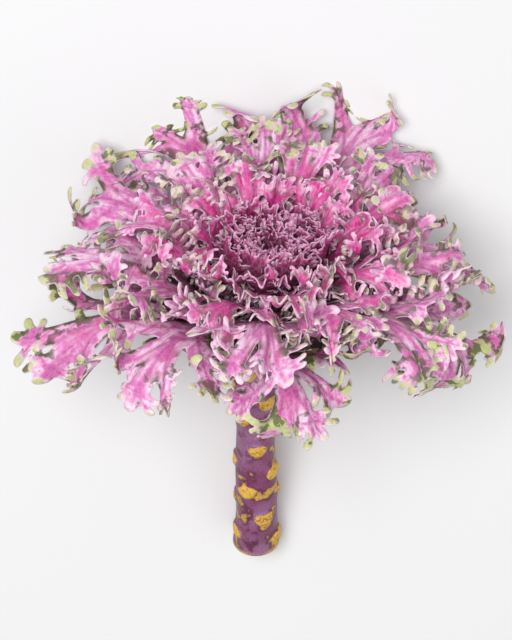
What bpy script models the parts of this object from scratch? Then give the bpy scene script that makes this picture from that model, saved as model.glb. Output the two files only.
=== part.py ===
"""Purple kale: one cut stem with a feathery rosette of leaves, laid on its side.

The plant is modelled as it grew, upright, with the centre of its cut end at the
origin and the stem along +Z. A parent empty then lays it down, so that the rim of
the cut end and the tips of the back leaves rest on the plane z = 0.

A pair of values gives the oldest leaf's and the youngest leaf's, and the leaves
between them are worked out from their age.
"""

import math
from dataclasses import dataclass

import bmesh
import bpy
import numpy as np
from mathutils import Matrix, Vector
from mathutils.geometry import delaunay_2d_cdt

MM = 0.001

# The stem: its radii at the cut end, below the leaves and under the heart
STEM_RADIUS = 12.0 * MM
NECK_RADIUS = 10.5 * MM
CROWN_RADIUS = 7.5 * MM
BARE_STEM = 130.0 * MM
CROWN_HEIGHT = 174.0 * MM
STEM_SIDES = 24
RING_STEP = 3.4 * MM
RING_SHARES = (0.3, 0.6)

# How the plant lies: the angle of the stem above the table, and the place of its cut end
TILT = math.radians(21.5)
CUT_END = Vector((0.07 * MM, -117.2 * MM, STEM_RADIUS * math.cos(TILT)))

# Gap between a leaf or the heart and the stem that carries it
JOINT_GAP = 0.35 * MM

# The spiral in which the leaves grow, and the one that grew a little aside of it
LEAF_COUNT = 34
GOLDEN_ANGLE = math.radians(-137.508)
FIRST_AZIMUTH = math.radians(116.0)
ASIDE = {4: math.radians(-7.0)}

# A leaf: its foot on the stem, its length, its rise at the foot and its droop at the tip
FOOT_INSET = 4.0 * MM
LEAF_LENGTH = (131.0 * MM, 54.0 * MM)
LEAF_RISE = (math.radians(66.0), math.radians(80.0))
LEAF_DROOP = (math.radians(-62.0), math.radians(52.0))
LEAF_BEND = 1.35

# Its blade: the reach of its lobes as a share of a full one, its stalk and its waved edge
LEAF_REACH = (1.08, 0.9)
LEAF_STALK = (3.6 * MM, 2.6 * MM)
LEAF_RUFFLE = (0.066, 0.02)
MANY_LOBES = 4
FEW_LOBES = 3
FEW_LOBES_AGE = 0.55

# How fast those values pass from the oldest leaf to the youngest
LENGTH_PACE = 1.1
DROOP_PACE = 0.85
RUFFLE_PACE = 0.45

# The first stretch of a stalk is level, so that its end lies flat against the stem
LEVEL = 3.0 * MM
TURN_UP = 6.0 * MM

# A blade in the flat: where its lobes spring from the rib, how far they reach and their spread
BLADE_START = 0.28
BLADE_END = 0.85
SHORT_LOBE = 0.15
LONG_LOBE = 0.34
LOWEST_LOBE_ANGLE = math.radians(98.0)
STALK_TAPER = 0.85
STALK_SHARE = 0.14

# The outline of one lobe: how far along the lobe, and how much of its reach is left
LOBE = ((0.00, 0.44), (0.16, 0.80), (0.30, 0.60), (0.42, 1.0), (0.58, 1.0), (0.70, 0.62), (0.84, 0.84))
END_LOBE = ((0.00, 0.46), (0.30, 0.82), (0.56, 0.62), (0.80, 1.0))
TIP_REACH = 0.97

# The waves of a blade run round this point of its rib and grow towards its edge
HUB_SHARE = 0.34
WAVE_SPREAD = 0.42
WAVE_LIMIT = 1.3
WAVE_COUNT = 9.0
PHASE_STEP = 1.7

# The table bends the back leaves up: by this angle at their tips, and softly below this height
TABLE_LIFT = math.radians(50.0)
PRESS_HEIGHT = 16.0 * MM
PRESS_DEPTH = 5.0 * MM

# The leaves that lie on the table, and the height under which they are flat there
RESTING = (0, 3)
SETTLE = 0.4 * MM

# Thickness of a blade, of the foot of its rib and of the rib's end
BLADE_THICK = 0.8 * MM
STALK_THICK = 3.6 * MM
RIB_END_THICK = 1.2 * MM
RIB_SHARE = 0.6

# Scars of fallen leaves, in their own spiral down the bare stem
SCAR_COUNT = 20
SCAR_STEP = 6.1 * MM
SCAR_INSET = 4.0 * MM
SCAR_HALF_WIDTH = 6.2 * MM
SCAR_DROP = 7.5 * MM
SCAR_TOP = 2.5 * MM
SCAR_RISE = 1.7 * MM
SCAR_SLOPE = 2.2

# The core of the heart, and the small blades that grow from it
HEART_RADIUS = 11.0 * MM
HEART_HALF_HEIGHT = 17.0 * MM
HEART_MIDDLE = CROWN_HEIGHT + 10.0 * MM
HEART_SEGMENTS = 16
HEART_RINGS = 9
HEART_BLADES = 22
HEART_FOOT = (8.0 * MM, 24.0 * MM)
HEART_START = (9.0 * MM, 2.0 * MM)
HEART_LENGTH = (46.0 * MM, 26.0 * MM)
HEART_RISE = (math.radians(78.0), math.radians(86.0))
HEART_DROOP = (math.radians(52.0), math.radians(78.0))
HEART_BEND = 1.1
HEART_REACH = 0.9
HEART_STALK = 3.0 * MM
HEART_RUFFLE = 0.03
HEART_LOBES = 2
HEART_PHASE_STEP = 2.3
HEART_TURN_UP = 2.0 * MM


def mix(a, b, t):
    """The value between a and b at share t."""
    return a + (b - a) * t


def stem_radius(height):
    """Radius of the stem at a height above its cut end."""
    heights = (0.0, BARE_STEM, CROWN_HEIGHT)
    return float(np.interp(height, heights, (STEM_RADIUS, NECK_RADIUS, CROWN_RADIUS)))


def press(points):
    """Points of the upright plant, moved so that none lies below the table once it is laid down."""
    lay = np.array(Matrix.Rotation(TILT - math.pi / 2, 3, "X"))
    laid = points @ lay.T
    above = laid[:, 2] + CUT_END.z - BLADE_THICK / 2
    reach = np.clip(PRESS_HEIGHT - above, 0.0, None)
    whole = PRESS_HEIGHT + PRESS_DEPTH
    soft = whole * np.exp(-reach / whole) - PRESS_DEPTH
    laid[:, 2] += np.where(reach > 0.0, np.maximum(soft, 0.0) - above, 0.0)
    return laid @ lay


@dataclass
class Growth:
    """One leaf: where it leaves the stem, how it rises and bends, and how wide it is."""

    azimuth: float
    foot: float
    start: float
    length: float
    rise: float
    droop: float
    reach: float
    stalk: float
    lobes: int
    bend: float
    ruffle: float
    phase: float
    lift: float = 0.0
    turn_up: float = TURN_UP

    def rib_line(self, droop, y):
        """Distance out, height and slope of the rib at distances y along it."""
        along = np.linspace(0.0, 1.1 * self.length, 56)
        slope = mix(self.rise, droop, (along / self.length) ** self.bend)
        slope = slope * (1.0 - np.exp(-np.clip(along - LEVEL, 0.0, None) / self.turn_up))
        middle = (slope[1:] + slope[:-1]) / 2
        out = self.start + np.concatenate([[0.0], np.cumsum(np.cos(middle) * along[1])])
        height = self.foot + np.concatenate([[0.0], np.cumsum(np.sin(middle) * along[1])])
        return [np.interp(y, along, values) for values in (out, height, slope)]

    def place(self, x, y):
        """Points x across the leaf and y along it, on the leaf's waved surface in the plant."""
        free = self.rib_line(self.droop, y)
        lifted = self.rib_line(self.droop + self.lift, y)
        turn = self.azimuth + x / np.maximum(free[0], STEM_RADIUS)
        toward_table = np.clip(np.sin(turn), 0.0, 1.0) ** 2
        out, height, slope = [mix(a, b, toward_table) for a, b in zip(free, lifted)]
        hub = HUB_SHARE * self.length
        around = np.arctan2(x, y - hub)
        margin = np.clip(np.hypot(x, y - hub) / (WAVE_SPREAD * self.length), 0.0, WAVE_LIMIT)
        wave = self.ruffle * y * margin**2 * np.sin(WAVE_COUNT * around + self.phase)
        out = out - wave * np.sin(slope)
        height = height + wave * np.cos(slope)
        return press(np.column_stack([out * np.cos(turn), out * np.sin(turn), height]))


def leaf_name(number):
    """The name of a leaf, counted from 1."""
    return f"leaf_{number + 1:02d}"


def leaf_growth(number):
    """The growth of a leaf from its number on the spiral, 0 being the oldest."""
    age = number / (LEAF_COUNT - 1)
    foot = mix(BARE_STEM + FOOT_INSET, CROWN_HEIGHT - FOOT_INSET, age)
    return Growth(
        azimuth=FIRST_AZIMUTH + GOLDEN_ANGLE * number + ASIDE.get(number, 0.0),
        foot=foot,
        start=stem_radius(foot) + JOINT_GAP,
        length=mix(*LEAF_LENGTH, age**LENGTH_PACE),
        rise=mix(*LEAF_RISE, age),
        droop=mix(*LEAF_DROOP, age**DROOP_PACE),
        reach=mix(*LEAF_REACH, age),
        stalk=mix(*LEAF_STALK, age),
        lobes=MANY_LOBES if age < FEW_LOBES_AGE else FEW_LOBES,
        bend=LEAF_BEND,
        ruffle=mix(*LEAF_RUFFLE, age**RUFFLE_PACE),
        phase=PHASE_STEP * number,
        lift=TABLE_LIFT * (1.0 - age),
    )


def heart_growth(number):
    """The growth of one small blade of the heart, numbered from the outside in."""
    age = number / (HEART_BLADES - 1)
    return Growth(
        azimuth=FIRST_AZIMUTH + GOLDEN_ANGLE * (LEAF_COUNT + number),
        foot=CROWN_HEIGHT + mix(*HEART_FOOT, age),
        start=mix(*HEART_START, age),
        length=mix(*HEART_LENGTH, age),
        rise=mix(*HEART_RISE, age),
        droop=mix(*HEART_DROOP, age),
        reach=HEART_REACH,
        stalk=HEART_STALK,
        lobes=HEART_LOBES,
        bend=HEART_BEND,
        ruffle=HEART_RUFFLE,
        phase=HEART_PHASE_STEP * number,
        turn_up=HEART_TURN_UP,
    )


def half_outline(growth):
    """One side of the leaf's cut edge, from the foot of the stalk to the tip, as x and y."""
    length, stalk = growth.length, growth.stalk
    points = [(stalk, 0.0), (stalk, LEVEL), (STALK_TAPER * stalk, STALK_SHARE * length)]
    lobes = growth.lobes + 0.5
    for lobe in range(growth.lobes + 1):
        last = lobe == growth.lobes
        for share, depth in END_LOBE if last else LOBE:
            along = (lobe + share * (0.5 if last else 1.0)) / lobes
            points.append(edge_point(growth, along, depth))
    return points


def edge_point(growth, along, depth):
    """A point of the blade on the ray that leaves the rib at share along, at a share of its reach."""
    full = mix(SHORT_LOBE, LONG_LOBE, math.sin(math.pi * along))
    reach = growth.reach * growth.length * full * depth
    angle = LOWEST_LOBE_ANGLE * (1.0 - along)
    root = growth.length * mix(BLADE_START, BLADE_END, along)
    return (reach * math.sin(angle), root + reach * math.cos(angle))


def inner_points(growth):
    """Points inside the blade, on the rib and on the main vein of each lobe, as x and y."""
    shares = [STALK_SHARE * i for i in range(1, 7)]
    points = [(0.0, LEVEL)] + [(0.0, share * growth.length) for share in shares]
    for lobe in range(growth.lobes):
        x, y = edge_point(growth, (lobe + 0.5) / (growth.lobes + 0.5), 0.5)
        points += [(x, y), (-x, y)]
    return points


def flat_leaf(growth):
    """The leaf laid flat, as points and triangles."""
    right = half_outline(growth)
    left = [(-x, y) for x, y in reversed(right)]
    outline = [(0.0, 0.0), *right, edge_point(growth, 1.0, TIP_REACH), *left]
    points = [Vector(p) for p in outline + inner_points(growth)]
    edges = [(i, (i + 1) % len(outline)) for i in range(len(outline))]
    made, _, faces, *_ = delaunay_2d_cdt(points, edges, [list(range(len(outline)))], 1, 1e-7)
    return np.array(made), faces


def sheet(name, growth):
    """The leaf's sheet as an object, with the thickness wanted at each point in a vertex group."""
    flat, faces = flat_leaf(growth)
    placed = growth.place(flat[:, 0], flat[:, 1])
    mesh = bpy.data.meshes.new(name)
    mesh.from_pydata(placed.tolist(), [], faces)
    made = bpy.data.objects.new(name, mesh)
    group = made.vertex_groups.new(name="thickness")
    for index, (x, y) in enumerate(flat):
        on_rib = max(0.0, 1.0 - abs(x) / (RIB_SHARE * growth.stalk))
        rib = mix(STALK_THICK, RIB_END_THICK, min(1.0, y / (BLADE_END * growth.length)))
        group.add([index], mix(BLADE_THICK, rib, on_rib) / STALK_THICK, "REPLACE")
    thick = made.modifiers.new("thickness", "SOLIDIFY")
    thick.thickness = STALK_THICK
    thick.offset = 0.0
    thick.vertex_group = group.name
    return made


def settle(leaf):
    """Gives a leaf that lies on the table its thickness, and flattens what meets the table there."""
    depsgraph = bpy.context.evaluated_depsgraph_get()
    solid = bpy.data.meshes.new_from_object(leaf.evaluated_get(depsgraph))
    to_world = leaf.matrix_world.copy()
    solid.transform(to_world)
    for vert in solid.vertices:
        vert.co.z = 0.0 if vert.co.z < SETTLE else vert.co.z
    solid.transform(to_world.inverted())
    leaf.modifiers.clear()
    leaf.vertex_groups.clear()
    leaf.data = solid


def stem():
    """The bare stem and its crown, with the scars of the fallen leaves raised from its side."""
    made = bmesh.new()
    bmesh.ops.create_cone(
        made, cap_ends=True, segments=STEM_SIDES, radius1=STEM_RADIUS, radius2=STEM_RADIUS,
        depth=CROWN_HEIGHT, matrix=Matrix.Translation((0.0, 0.0, CROWN_HEIGHT / 2)),
    )
    rings = [RING_STEP * (i + 1) for i in range(int(BARE_STEM / RING_STEP))]
    rings += [mix(BARE_STEM, CROWN_HEIGHT, share) for share in RING_SHARES]
    for height in rings:
        parts = made.verts[:] + made.edges[:] + made.faces[:]
        bmesh.ops.bisect_plane(made, geom=parts, plane_co=(0, 0, height), plane_no=(0, 0, 1))
    for vert in made.verts:
        turn = math.atan2(vert.co.y, vert.co.x)
        radius = stem_radius(vert.co.z) + scar_rise(turn, vert.co.z)
        vert.co.x, vert.co.y = radius * math.cos(turn), radius * math.sin(turn)
    mesh = bpy.data.meshes.new("stem")
    made.to_mesh(mesh)
    made.free()
    return bpy.data.objects.new("stem", mesh)


def scar_rise(turn, height):
    """How far the stem stands out at a point of its side, for the scars of fallen leaves."""
    rise = 0.0
    for number in range(SCAR_COUNT):
        middle = BARE_STEM - SCAR_INSET - SCAR_STEP * number
        across = FIRST_AZIMUTH - GOLDEN_ANGLE * (number + 1) - turn
        across = math.remainder(across, 2 * math.pi) * STEM_RADIUS
        drop = (middle - height) / (SCAR_DROP if height < middle else SCAR_TOP)
        away = math.hypot(across / SCAR_HALF_WIDTH, drop)
        rise = max(rise, SCAR_RISE * min(1.0, SCAR_SLOPE * (1.0 - away)))
    return rise


def heart():
    """The core of the heart, which stands on the crown of the stem and is flat there."""
    made = bmesh.new()
    bmesh.ops.create_uvsphere(made, u_segments=HEART_SEGMENTS, v_segments=HEART_RINGS, radius=1.0)
    for vert in made.verts:
        vert.co.x *= HEART_RADIUS
        vert.co.y *= HEART_RADIUS
        vert.co.z = HEART_MIDDLE + vert.co.z * HEART_HALF_HEIGHT
        vert.co.z = max(vert.co.z, CROWN_HEIGHT + JOINT_GAP)
    mesh = bpy.data.meshes.new("heart")
    made.to_mesh(mesh)
    made.free()
    return bpy.data.objects.new("heart", mesh)


def join_blades(core, blades):
    """The core as one solid with its blades, which are then removed."""
    tools = bpy.data.collections.new("blades")
    bpy.context.scene.collection.children.link(tools)
    for blade in blades:
        tools.objects.link(blade)
    union = core.modifiers.new("blades", "BOOLEAN")
    union.operation = "UNION"
    union.operand_type = "COLLECTION"
    union.collection = tools
    union.solver = "EXACT"
    bpy.context.view_layer.update()
    depsgraph = bpy.context.evaluated_depsgraph_get()
    joined = bpy.data.meshes.new_from_object(core.evaluated_get(depsgraph))
    core.modifiers.clear()
    core.data = joined
    for blade in blades:
        bpy.data.objects.remove(blade)
    bpy.data.collections.remove(tools)


def material(name, colour, roughness):
    """A plain material of one colour."""
    made = bpy.data.materials.new(name)
    made.use_nodes = True
    surface = made.node_tree.nodes["Principled BSDF"]
    surface.inputs["Base Color"].default_value = (*colour, 1.0)
    surface.inputs["Roughness"].default_value = roughness
    surface.inputs["Metallic"].default_value = 0.0
    return made


def add_leaves(plant, frame):
    """Adds the leaves of the rosette to the plant."""
    blade = material("leaf_purple", (0.55, 0.17, 0.42), 0.55)
    for number in range(LEAF_COUNT):
        leaf = sheet(leaf_name(number), leaf_growth(number))
        leaf.data.materials.append(blade)
        leaf.parent = frame
        plant.objects.link(leaf)


def add_stem(plant, frame):
    """Adds the stem to the plant."""
    bare = stem()
    bare.data.materials.append(material("stem_skin", (0.25, 0.08, 0.14), 0.45))
    bare.parent = frame
    plant.objects.link(bare)


def add_heart(plant, frame):
    """Adds the heart, with its blades, to the plant."""
    middle = heart()
    middle.parent = frame
    plant.objects.link(middle)
    join_blades(middle, [sheet(f"blade_{i}", heart_growth(i)) for i in range(HEART_BLADES)])
    middle.data.materials.clear()
    middle.data.materials.append(material("heart_purple", (0.45, 0.06, 0.28), 0.55))


def main():
    """Builds the plant and lays it down."""
    for old in list(bpy.data.objects):
        bpy.data.objects.remove(old)
    plant = bpy.data.collections.new("purple_kale")
    bpy.context.scene.collection.children.link(plant)
    frame = bpy.data.objects.new("lie", None)
    plant.objects.link(frame)
    add_leaves(plant, frame)
    add_stem(plant, frame)
    add_heart(plant, frame)
    frame.rotation_euler = (TILT - math.pi / 2, 0.0, 0.0)
    frame.location = CUT_END
    bpy.context.view_layer.update()
    for number in RESTING:
        settle(bpy.data.objects[leaf_name(number)])


main()
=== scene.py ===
"""The looks of a purple kale: feathery leaves, a curled heart and a scarred stem.

Lengths are in metres. The plant is worked out upright, as it grew, with the centre of
its cut end at the origin and the stem along +Z, and is then laid down as its solids lie.
A leaf is worked out laid flat, with x across it and y from its foot to its tip. A pair
of values gives the oldest leaf's and the youngest leaf's.
"""

import logging
import math
from dataclasses import dataclass, field
from enum import Enum

import bpy
import numpy as np
from mathutils import Matrix, Vector


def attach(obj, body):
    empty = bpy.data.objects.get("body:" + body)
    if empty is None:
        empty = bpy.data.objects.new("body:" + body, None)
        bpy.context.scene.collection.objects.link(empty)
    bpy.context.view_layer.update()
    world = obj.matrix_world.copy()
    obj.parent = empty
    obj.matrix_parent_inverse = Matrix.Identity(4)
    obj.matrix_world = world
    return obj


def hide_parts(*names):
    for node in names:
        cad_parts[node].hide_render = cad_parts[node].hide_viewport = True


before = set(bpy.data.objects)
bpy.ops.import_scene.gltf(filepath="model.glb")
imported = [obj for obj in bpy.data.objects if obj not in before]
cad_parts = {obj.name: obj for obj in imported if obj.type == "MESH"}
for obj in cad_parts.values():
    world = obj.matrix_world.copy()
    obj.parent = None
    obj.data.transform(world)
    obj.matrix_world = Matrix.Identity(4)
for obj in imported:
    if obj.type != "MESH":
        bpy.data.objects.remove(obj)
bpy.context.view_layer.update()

LOG = logging.getLogger("kale")
Array = np.ndarray
Colour = tuple[float, float, float]
MM = 0.001

# The stem and the way the plant lies
STEM_RADIUS = 12.0 * MM
NECK_RADIUS = 10.5 * MM
CROWN_RADIUS = 7.5 * MM
BARE_STEM = 130.0 * MM
CROWN_HEIGHT = 174.0 * MM
TILT = math.radians(21.5)
CUT_END = Vector((0.07 * MM, -117.2 * MM, STEM_RADIUS * math.cos(TILT)))
LAY = np.array(Matrix.Rotation(TILT - math.pi / 2, 3, "X"))
STALK_SINK = 0.8 * MM
LEAN = 0.16
LEAN_START = 20.0 * MM

# The spiral of the leaves
LEAF_COUNT = 34
GOLDEN_ANGLE = math.radians(-137.508)
FIRST_AZIMUTH = math.radians(116.0)

# Leaves that stand aside of the spiral, differ in length or are raised, by their numbers
ASIDE = {4: math.radians(-7.0)}
LENGTH_SHARE = {0: 1.1, 1: 0.92, 2: 0.95, 3: 1.12, 4: 0.75, 5: 1.03, 8: 0.9, 12: 1.05}
RAISED = {7: math.radians(8.0), 12: math.radians(16.0)}

# The leaves toward the table are shorter, and the older they are the calmer their margins
BACK_SHARE = 0.92
BACK_CALM = 0.65

# The growth of a leaf
FOOT_INSET = 4.0 * MM
LEAF_LENGTH = (135.0 * MM, 53.0 * MM)
LEAF_RISE = (math.radians(66.0), math.radians(80.0))
LEAF_DROOP = (math.radians(-72.0), math.radians(40.0))
LEAF_BEND = 1.35
LEAF_REACH = (1.3, 1.0)
LEAF_STALK = (3.6 * MM, 2.6 * MM)
LEAF_RUFFLE = (0.066, 0.02)
LENGTH_PACE = 1.1
DROOP_PACE = 0.85
RUFFLE_PACE = 0.45
LEAF_FLAT = (1.25, 2.2)
RIB_PAST = 1.1
RIB_STEPS = 56
LEVEL = 3.0 * MM
TURN_UP = 6.0 * MM

# The blade laid flat
BLADE_START = 0.28
BLADE_END = 0.85
SHORT_LOBE = 0.15
LONG_LOBE = 0.34
LOWEST_LOBE_ANGLE = math.radians(98.0)
TIP_REACH = 0.97
HUB_SHARE = 0.34
WAVE_SPREAD = 0.42
WAVE_LIMIT = 1.3
WAVE_COUNT = 9.0
WAVE_SHARE = 0.5
PHASE_STEP = 1.7

# Half-widths along the rib: the lower ones as shares of the stalk's, the upper ones of the length
STALK_WIDTHS = ((-0.006, 1.2), (0.04, 1.0), (0.20, 0.8))
RIB_WIDTHS = ((0.30, 0.044), (0.50, 0.058), (0.80, 0.040))

# The lobes on each side of the rib, and the one at its end
LOBES_A_SIDE = 4
LOBE_SHIFT = 0.12
LOBE_SPAN = 0.8
LOBE_REACH = (0.94, 1.04)
LOWEST_ROOT = 0.20
HIGHEST_ROOT = 0.86
VEIN_BOW = -0.05
END_ROOT = 0.72
END_BOW = 0.04
BODY_SHARES = (0.13, 0.19)
LEAST_BODY = 1.4

# The fans, which spread their fingers like a hand
FAN_TURNS = (-1.0, -0.5, 0.0, 0.5, 1.0)
FAN_SPREAD = math.radians(82.0)
FAN_VARIETY = (0.85, 1.1)
LONGEST_FAN = 0.4
PALM = 0.4
WRIST = 0.36
OUTER_SHORTER = 0.15
NECK_AT = 0.56
NECK_WIDE = 0.95
TIP_WIDE = 1.2
FINGER_TURN = (0.88, 1.12)
FINGER_LENGTH = (0.82, 1.08)
FINGER_WIDTH = (0.85, 1.15)

# The side branches of a lobe: where a pair leaves the main vein, its length and its angle
SIDE_PAIRS = (
    (0.50, 0.46, 52.0),
    (0.30, 0.50, 58.0),
    (0.14, 0.46, 66.0),
    (0.42, 0.34, 56.0),
    (0.22, 0.34, 62.0),
)
SIDE_SIZES = (1.0, 0.84, 0.68, 0.54, 0.42)
SIDE_TURN = (0.85, 1.2)
SIDE_LENGTH = (0.85, 1.15)
SIDE_FAN = 0.78
SIDE_FAN_SHARE = 0.64
LEAST_FAN = 2.6
SIDE_ROOM = 1.5
BRANCH_SHIFT = 0.04

# The single fingers beside a lobe: where they may stand, and their lengths in finger widths
SINGLE_SHARES = (0.60, 0.52, 0.44, 0.36, 0.28, 0.20, 0.12)
SINGLE_SIZES = (9.0, 7.4, 6.0, 5.0, 4.2)
SINGLE_ANGLE = math.radians(56.0)
SINGLE_TURN = (0.8, 1.3)
SINGLE_ROOM = 1.65
MIDDLE_AT = 0.7
MIDDLE_ROOM = 0.3

# Reading the flat blade: reaches in finger widths, and what counts as far
GRID_PAST = 2.0
EDGE_REACH = 4.0
OWNER_REACH = 2.0
WEB = 0.9
FAR_VEIN = 20.0
FAR_TIP = 40.0 * MM

# Curling the blade
CURL_WAVES = ((5.0, 0.45), (11.0, 0.5), (19.0, 0.45))
CURL_LIMIT = 1.2
LEAST_CURL = 0.1
FRILL_WAVES = ((1.0, 0.6), (1.7, 0.4))
FADE = (math.radians(150.0), math.radians(115.0))
RIB_BELOW = 0.35
TEAR = 3.5
ROLLS_ASIDE = 0.12
MILD_ROLL = 0.4
LEAST_ROLL = 0.02
TIGHT_ROLL = (2.1, 3.0)

# What keeps a leaf's draws apart from each other
CURL_SEED = 500
WAVE_SEED = 900
LOT_SEED = 77
LOT_STEP = 1.37

# The table under the back leaves
TABLE_LIFT = math.radians(64.0)
BACK_LIFT = math.radians(24.0)
PRESS_HEIGHT = 16.0 * MM
PRESS_DEPTH = 5.0 * MM

# Thickness
EDGE_THICK = 0.5 * MM
BLADE_THICK = 0.8 * MM
STALK_THICK = 3.6 * MM
RIB_END_THICK = 1.2 * MM
RIB_FOOT_WIDE = 1.05
RIB_END_WIDE = 0.9 * MM
RIB_PACE = 0.8
VEIN_THICK = 0.5 * MM
EDGE_WIDTH = 1.6 * MM
THICK_LEVELS = 48.0

# Scars of fallen leaves
SCAR_COUNT = 20
SCAR_STEP = 6.1 * MM
SCAR_INSET = 4.0 * MM
SCAR_HALF_WIDTH = 7.2 * MM
SCAR_DROP = 7.5 * MM
SCAR_TOP = 2.5 * MM
SCAR_RISE = 1.7 * MM
SCAR_SLOPE = 2.2
SCAR_DIP = 0.5 * MM


def mix(a: float | Array, b: float | Array, t: float | Array) -> float | Array:
    """The value between a and b at share t."""
    return a + (b - a) * t


def ease(low: float, high: float, value: Array) -> Array:
    """A smooth step from 0 at low to 1 at high."""
    share = np.clip((value - low) / (high - low), 0.0, 1.0)
    return share * share * (3.0 - 2.0 * share)


def tone(red: float, green: float, blue: float) -> Colour:
    """A colour given as screen values from 0 to 255, as the linear values that shaders use."""
    return tuple(float((c / 255.0) ** 2.2) for c in (red, green, blue))


def stem_radius(height: float | Array) -> float | Array:
    """Radius of the stem at a height above its cut end."""
    heights = (0.0, BARE_STEM, CROWN_HEIGHT)
    return np.interp(height, heights, (STEM_RADIUS, NECK_RADIUS, CROWN_RADIUS))


def press(laid: Array, half_thick: Array) -> Array:
    """Points of the plant as it lies, moved so that none is below the table.

    Args:
        laid: Points in the frame of the solids.
        half_thick: Half the leaf's thickness at each point.

    Returns:
        The points, softly raised where the table is.
    """
    above = laid[:, 2] - half_thick
    reach = np.clip(PRESS_HEIGHT - above, 0.0, None)
    whole = PRESS_HEIGHT + PRESS_DEPTH
    soft = whole * np.exp(-reach / whole) - PRESS_DEPTH
    pressed = laid.copy()
    pressed[:, 2] += np.where(reach > 0.0, np.maximum(soft, 0.0) - above, 0.0)
    return pressed


def lay_down(upright: Array) -> Array:
    """Points of the upright plant, as they lie."""
    return upright @ LAY.T + np.array(CUT_END)


def calm(azimuth: float, age: float) -> float:
    """How much of its waves and curls a leaf keeps: least where it is old and toward the table."""
    return 1.0 - BACK_CALM * max(0.0, math.sin(azimuth)) * (1.0 - age)


@dataclass(frozen=True)
class Growth:
    """One leaf: where it leaves the stem, how it rises and bends, and how wide it is."""

    age: float
    azimuth: float
    foot: float
    start: float
    length: float
    rise: float
    droop: float
    reach: float
    stalk: float
    bend: float
    ruffle: float
    phase: float
    lift: float = 0.0
    turn_up: float = TURN_UP
    flat: float = 1.0

    def rib_line(self, droop: float, y: Array) -> list[Array]:
        """Follows the rib.

        Args:
            droop: The slope that the rib bends to.
            y: Distances along it from the foot.

        Returns:
            Its distance out from the stem's middle, its height and its slope at each.
        """
        along = np.linspace(0.0, RIB_PAST * self.length, RIB_STEPS)
        slope = mix(self.rise, droop, (along / self.length) ** self.bend)
        slope = slope * (1.0 - np.exp(-np.clip(along - LEVEL, 0.0, None) / self.turn_up))
        middle = (slope[1:] + slope[:-1]) / 2
        out = self.start + np.concatenate([[0.0], np.cumsum(np.cos(middle) * along[1])])
        height = self.foot + np.concatenate([[0.0], np.cumsum(np.sin(middle) * along[1])])
        return [np.interp(y, along, values) for values in (out, height, slope)]

    def surface(self, x: Array, y: Array) -> Array:
        """Puts points of the flat leaf on its waved surface.

        Args:
            x: Distances across the leaf.
            y: Distances along it.

        Returns:
            The points in the upright plant.
        """
        free = self.rib_line(self.droop, y)
        lifted = self.rib_line(self.droop + self.lift, y)
        arc = self.flat * np.maximum(free[0], STEM_RADIUS)
        toward_table = np.clip(np.sin(self.azimuth + x / arc), 0.0, 1.0) ** 2
        out, height, slope = [mix(a, b, toward_table) for a, b in zip(free, lifted)]
        hub = HUB_SHARE * self.length
        around = np.arctan2(x, y - hub)
        margin = np.hypot(x, y - hub) / (WAVE_SPREAD * self.length)
        margin = np.clip(margin, 0.0, WAVE_LIMIT)
        swing = np.sin(WAVE_COUNT * around + self.phase)
        wave = WAVE_SHARE * self.ruffle * y * margin**2 * swing
        out = out - wave * np.sin(slope) - arc * (1.0 - np.cos(x / arc))
        aside = arc * np.sin(x / arc)
        height = height + wave * np.cos(slope)
        cos, sin = math.cos(self.azimuth), math.sin(self.azimuth)
        rise = np.clip(height - BARE_STEM, 0.0, None)
        lean = LEAN * rise**2 / (rise + LEAN_START)
        return np.column_stack([out * cos - aside * sin + lean, out * sin + aside * cos, height])

    def surface_and_normal(self, x: Array, y: Array) -> tuple[Array, Array]:
        """Puts points of the flat leaf on its surface, and tells how it lies there.

        Args:
            x: Distances across the leaf.
            y: Distances along it.

        Returns:
            The points in the upright plant, and the way the upper face looks at each.
        """
        step = 0.4 * MM
        here = self.surface(x, y)
        across = self.surface(x + step, y) - self.surface(x - step, y)
        along = self.surface(x, y + step) - self.surface(x, y - step)
        normal = np.cross(along, across)
        return here, normal / np.linalg.norm(normal, axis=1, keepdims=True)

    def edge_point(self, along: float, depth: float) -> tuple[float, float]:
        """A point on a ray that leaves the rib.

        Args:
            along: Where the ray leaves, from 0 at the lowest to 1 at the leaf's end.
            depth: How far out the point is, as a share of the blade's reach there.

        Returns:
            Its x and y on the flat leaf.
        """
        full = mix(SHORT_LOBE, LONG_LOBE, math.sin(math.pi * along))
        reach = self.reach * self.length * full * depth
        angle = LOWEST_LOBE_ANGLE * (1.0 - along)
        root = self.length * mix(BLADE_START, BLADE_END, along)
        return (reach * math.sin(angle), root + reach * math.cos(angle))


def leaf_growth(number: int) -> Growth:
    """The growth of one leaf of the rosette.

    Args:
        number: Its number on the spiral, 0 being the oldest.

    Returns:
        Its growth.
    """
    age = number / (LEAF_COUNT - 1)
    foot = mix(BARE_STEM + FOOT_INSET, CROWN_HEIGHT - FOOT_INSET, age)
    azimuth = FIRST_AZIMUTH + GOLDEN_ANGLE * number + ASIDE.get(number, 0.0)
    back = mix(1.0, BACK_SHARE, max(0.0, math.sin(azimuth)))
    return Growth(
        age=age,
        azimuth=azimuth,
        foot=foot,
        start=float(stem_radius(foot)) - STALK_SINK,
        length=mix(*LEAF_LENGTH, age**LENGTH_PACE) * LENGTH_SHARE.get(number, back),
        rise=mix(*LEAF_RISE, age),
        droop=mix(*LEAF_DROOP, age**DROOP_PACE) + RAISED.get(number, 0.0),
        reach=mix(*LEAF_REACH, age),
        stalk=mix(*LEAF_STALK, age),
        bend=LEAF_BEND,
        ruffle=mix(*LEAF_RUFFLE, age**RUFFLE_PACE) * calm(azimuth, age),
        phase=PHASE_STEP * number,
        lift=TABLE_LIFT * (1.0 - age) + BACK_LIFT * math.sin(math.pi * age),
        flat=mix(*LEAF_FLAT, age),
    )


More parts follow.
